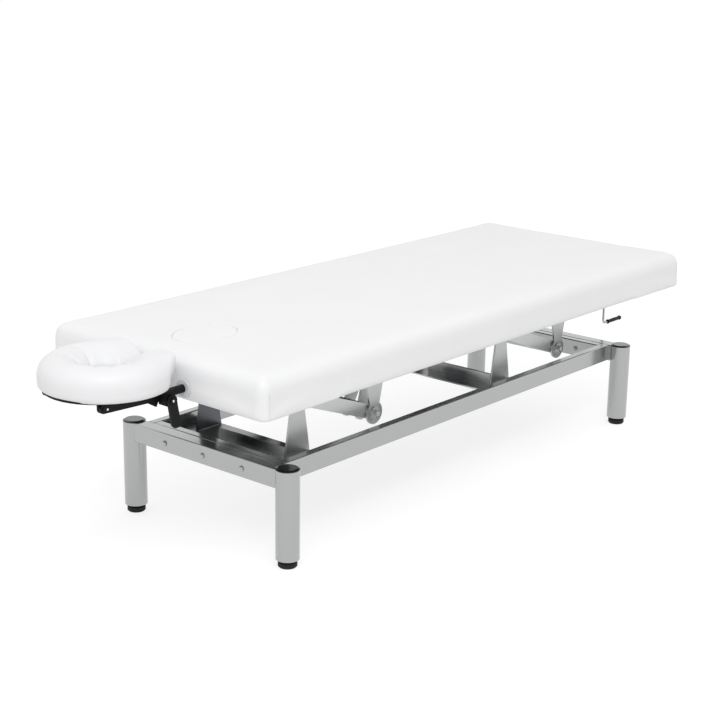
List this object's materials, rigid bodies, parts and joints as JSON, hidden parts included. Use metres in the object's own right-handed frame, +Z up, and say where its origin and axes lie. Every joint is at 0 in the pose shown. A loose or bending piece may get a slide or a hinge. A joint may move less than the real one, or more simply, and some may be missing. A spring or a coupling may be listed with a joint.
{
  "type": "height-adjustable treatment table",
  "caption": "Treatment table: upholstered pad with a face hole on a crank-driven parallelogram lift, steel frame on round posts, and a sliding, tilting face cradle.",
  "frame": {"origin": "on the floor, at the middle of the footprint, cradle and crank included", "axes": "+X to the foot end with the crank, -X to the face cradle, +Z up"},
  "size_m": [2.276, 0.744, 0.5523],
  "materials": {
    "silver_paint": "fine metallic powder coat, satin",
    "galvanised_steel": "zinc-plated sheet, faintly brushed",
    "zinc_hardware": "bright zinc",
    "top_frame_paint": "satin grey paint",
    "black_plastic": "fine moulded grain",
    "black_rubber": "matt",
    "insert_plastic": "matt",
    "spindle_steel": "bright zinc",
    "bronze_nut": "machined",
    "plywood": "birch plywood",
    "white_vinyl": "soft upholstery vinyl with a fine grain",
    "cradle_vinyl": "soft upholstery vinyl with a fine grain",
    "socket_metal": "drawn tube",
    "grommet_plastic": "pale grey",
    "black_paint": "satin black powder coat"
  },
  "bodies": {
    "base": {"leg_post_head_near": "silver_paint", "leg_post_head_far": "silver_paint", "leg_post_foot_near": "silver_paint", "leg_post_foot_far": "silver_paint", "leg_caps": "black_plastic", "leg_inserts": "insert_plastic", "head_cross_rail": "silver_paint", "foot_cross_rail": "silver_paint", "head_inner_rail": "silver_paint", "foot_inner_rail": "silver_paint", "side_rail_near": "silver_paint", "side_rail_far": "silver_paint", "frame_bolts": "zinc_hardware", "head_pivot_beam": "galvanised_steel", "foot_pivot_beam": "galvanised_steel", "head_pivot_bracket_near": "galvanised_steel", "head_pivot_bracket_far": "galvanised_steel", "foot_pivot_bracket_near": "galvanised_steel", "foot_pivot_bracket_far": "galvanised_steel", "base_pivot_bolts": "zinc_hardware"},
    "level_head_near": {"levelling_foot_head_near": "black_rubber"},
    "level_head_far": {"levelling_foot_head_far": "black_rubber"},
    "level_foot_near": {"levelling_foot_foot_near": "black_rubber"},
    "level_foot_far": {"levelling_foot_foot_far": "black_rubber"},
    "head_arms": {"head_torsion_tube": "galvanised_steel", "head_lift_arm_near": "galvanised_steel", "head_lift_arm_far": "galvanised_steel", "drive_horns": "galvanised_steel"},
    "foot_arms": {"foot_torsion_tube": "galvanised_steel", "foot_lift_arm_near": "galvanised_steel", "foot_lift_arm_far": "galvanised_steel"},
    "top": {"top_rail_near": "top_frame_paint", "top_rail_far": "top_frame_paint", "top_head_cross_rail": "top_frame_paint", "top_bearing_cross_rail": "top_frame_paint", "top_mid_cross_rail": "top_frame_paint", "top_foot_cross_rail": "top_frame_paint", "head_hanger_near": "galvanised_steel", "head_hanger_far": "galvanised_steel", "foot_hanger_near": "galvanised_steel", "foot_hanger_far": "galvanised_steel", "hanger_pivot_bolts": "zinc_hardware", "platform_board": "plywood", "mattress": "white_vinyl", "bearing_blocks": "top_frame_paint", "cradle_sockets": "socket_metal", "cradle_grommets": "grommet_plastic"},
    "plug": {"face_plug": "white_vinyl"},
    "crank": {"spindle": "spindle_steel", "crank_arm": "spindle_steel"},
    "grip": {"crank_grip": "black_plastic"},
    "nut": {"spindle_nut": "bronze_nut"},
    "cradle": {"cradle_slide": "black_paint", "cam_pin": "black_paint"},
    "cradle_link": {"cradle_arms": "black_paint"},
    "head_rest": {"cradle_platform": "black_paint", "face_cushion": "cradle_vinyl"},
    "clamp": {"cam_lever": "black_paint"}
  },
  "joints": [
    {"name": "level_head_near", "type": "slide", "parent": "base", "child": "level_head_near", "axis": [0, 0, -1], "range_m": [0, 0.012]},
    {"name": "level_head_far", "type": "slide", "parent": "base", "child": "level_head_far", "axis": [0, 0, -1], "range_m": [0, 0.012]},
    {"name": "level_foot_near", "type": "slide", "parent": "base", "child": "level_foot_near", "axis": [0, 0, -1], "range_m": [0, 0.012]},
    {"name": "level_foot_far", "type": "slide", "parent": "base", "child": "level_foot_far", "axis": [0, 0, -1], "range_m": [0, 0.012]},
    {"name": "lift", "type": "hinge", "parent": "base", "child": "head_arms", "pos_m": [-0.504, 0, 0.368], "axis": [0, -1, 0], "range_deg": [0, 58]},
    {"name": "lift_foot", "type": "hinge", "parent": "base", "child": "foot_arms", "pos_m": [0.364, 0, 0.368], "axis": [0, -1, 0], "range_deg": [0, 58]},
    {"name": "top_level", "type": "hinge", "parent": "head_arms", "child": "top", "pos_m": [-0.20481, 0, 0.25733], "axis": [0, 1, 0], "range_deg": [0, 58]},
    {"name": "crank_turn", "type": "hinge", "parent": "top", "child": "crank", "pos_m": [1.034, -0.091, 0.37], "axis": [1, 0, 0], "range_deg": [0, 5760]},
    {"name": "grip_spin", "type": "hinge", "parent": "crank", "child": "grip", "pos_m": [1.059, -0.091, 0.252], "axis": [1, 0, 0], "continuous": true},
    {"name": "nut_travel", "type": "slide", "parent": "top", "child": "nut", "axis": [-1, 0, 0], "range_m": [0, 0.12491]},
    {"name": "plug_lift", "type": "slide", "parent": "top", "child": "plug", "axis": [0, 0, 1], "range_m": [0, 0.12]},
    {"name": "cradle_pull", "type": "slide", "parent": "top", "child": "cradle", "axis": [-1, 0, 0], "range_m": [0, 0.15]},
    {"name": "cradle_drop", "type": "hinge", "parent": "cradle", "child": "cradle_link", "pos_m": [-0.898, 0, 0.446], "axis": [0, 1, 0], "range_deg": [-30, 0]},
    {"name": "head_rest_tilt", "type": "hinge", "parent": "cradle_link", "child": "head_rest", "pos_m": [-1.075, 0, 0.46], "axis": [0, 1, 0], "range_deg": [-30, 0]},
    {"name": "clamp_lever", "type": "hinge", "parent": "cradle", "child": "clamp", "pos_m": [-0.898, -0.115, 0.446], "axis": [0, 1, 0], "range_deg": [0, 60]}
  ],
  "couplings": [
    {"joint": "lift_foot", "follows": "lift", "ratio": 1},
    {"joint": "top_level", "follows": "lift", "ratio": 1},
    {"joint": "crank_turn", "follows": "lift", "ratio": 99.31},
    {"joint": "nut_travel", "follows": "lift", "m_per_rad": 0.12339}
  ]
}
